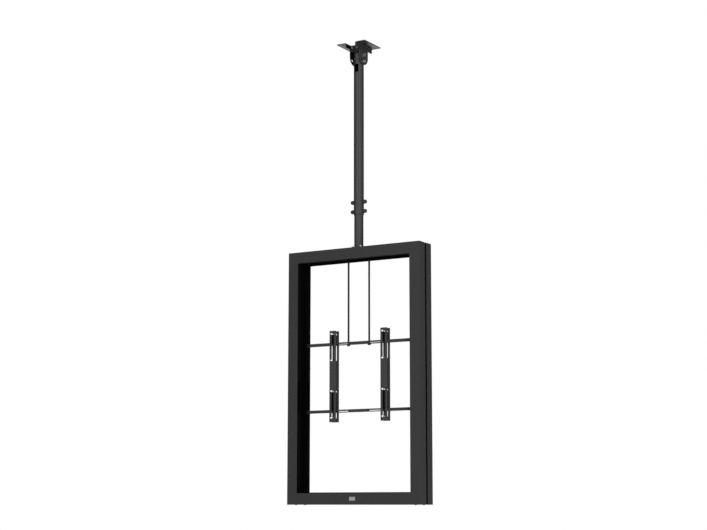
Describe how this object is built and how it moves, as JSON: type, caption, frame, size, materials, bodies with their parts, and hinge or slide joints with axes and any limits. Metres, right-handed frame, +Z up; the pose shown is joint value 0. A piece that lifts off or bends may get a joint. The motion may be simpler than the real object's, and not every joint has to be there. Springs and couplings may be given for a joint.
{
  "type": "display ceiling mount",
  "caption": "Telescopic ceiling mast that tilts in a folded bracket and carries a double-sided portrait display casing with slotted rails.",
  "frame": {"origin": "middle of the ceiling face of the bracket, on the axis of the mast", "axes": "+Z up to the ceiling, -Y out of the front face of the casing, +X to the right seen from the front"},
  "size_m": [0.798, 0.172, 2.4484],
  "materials": {
    "black_paint": "satin powder coat",
    "black_tube": "satin powder coat",
    "core_paint": "matt black",
    "black_hardware": "blackened steel",
    "zinc": "zinc plated",
    "badge": "satin"
  },
  "bodies": {
    "head": {"bracket_right": "black_paint", "bracket_left": "black_paint", "tie_plates": "black_paint", "tie_bolts": "zinc", "tie_nuts": "zinc", "pivot_bolt": "zinc", "pivot_washers": "zinc", "pivot_nut": "zinc"},
    "mast": {"upper_tube": "black_tube", "lock_bolt": "zinc", "lock_washers": "zinc", "lock_nut": "zinc", "clamp_bolts": "black_hardware", "clamp_washers": "black_hardware", "clamp_caps": "black_hardware"},
    "frame": {"lower_tube": "black_tube", "base_flange": "black_paint", "packing_plate": "core_paint", "base_bolts": "zinc", "base_washers": "zinc", "base_nuts": "zinc", "front_casing": "black_paint", "rear_casing": "black_paint", "casing_brackets": "core_paint", "casing_screws": "black_hardware", "badge_plate": "badge", "right_upright": "core_paint", "left_upright": "core_paint", "top_beam": "core_paint", "bottom_beam": "core_paint", "upper_bar": "black_paint", "lower_bar": "black_paint", "bar_plugs": "core_paint", "bar_bolts": "black_hardware", "hanger_rods": "black_hardware", "rod_top_nuts": "zinc", "rod_bar_washers": "black_hardware", "rod_bar_nuts": "black_hardware"},
    "left_rails": {"left_front_rail": "black_paint", "left_rear_rail": "black_paint", "left_clamp_plates": "black_paint", "left_rail_bolts": "black_hardware", "left_rail_nuts": "black_hardware"},
    "right_rails": {"right_front_rail": "black_paint", "right_rear_rail": "black_paint", "right_clamp_plates": "black_paint", "right_rail_bolts": "black_hardware", "right_rail_nuts": "black_hardware"}
  },
  "joints": [
    {"name": "mast_tilt", "type": "hinge", "parent": "head", "child": "mast", "pos_m": [0, 0, -0.054], "axis": [1, 0, 0], "range_deg": [-40, 40]},
    {"name": "mast_telescope", "type": "slide", "parent": "mast", "child": "frame", "axis": [0, 0, -1], "range_m": [0, 0.25]},
    {"name": "left_rail_slide", "type": "slide", "parent": "frame", "child": "left_rails", "axis": [1, 0, 0], "range_m": [-0.008, 0.065]},
    {"name": "right_rail_slide", "type": "slide", "parent": "frame", "child": "right_rails", "axis": [-1, 0, 0], "range_m": [0, 0.073]}
  ]
}
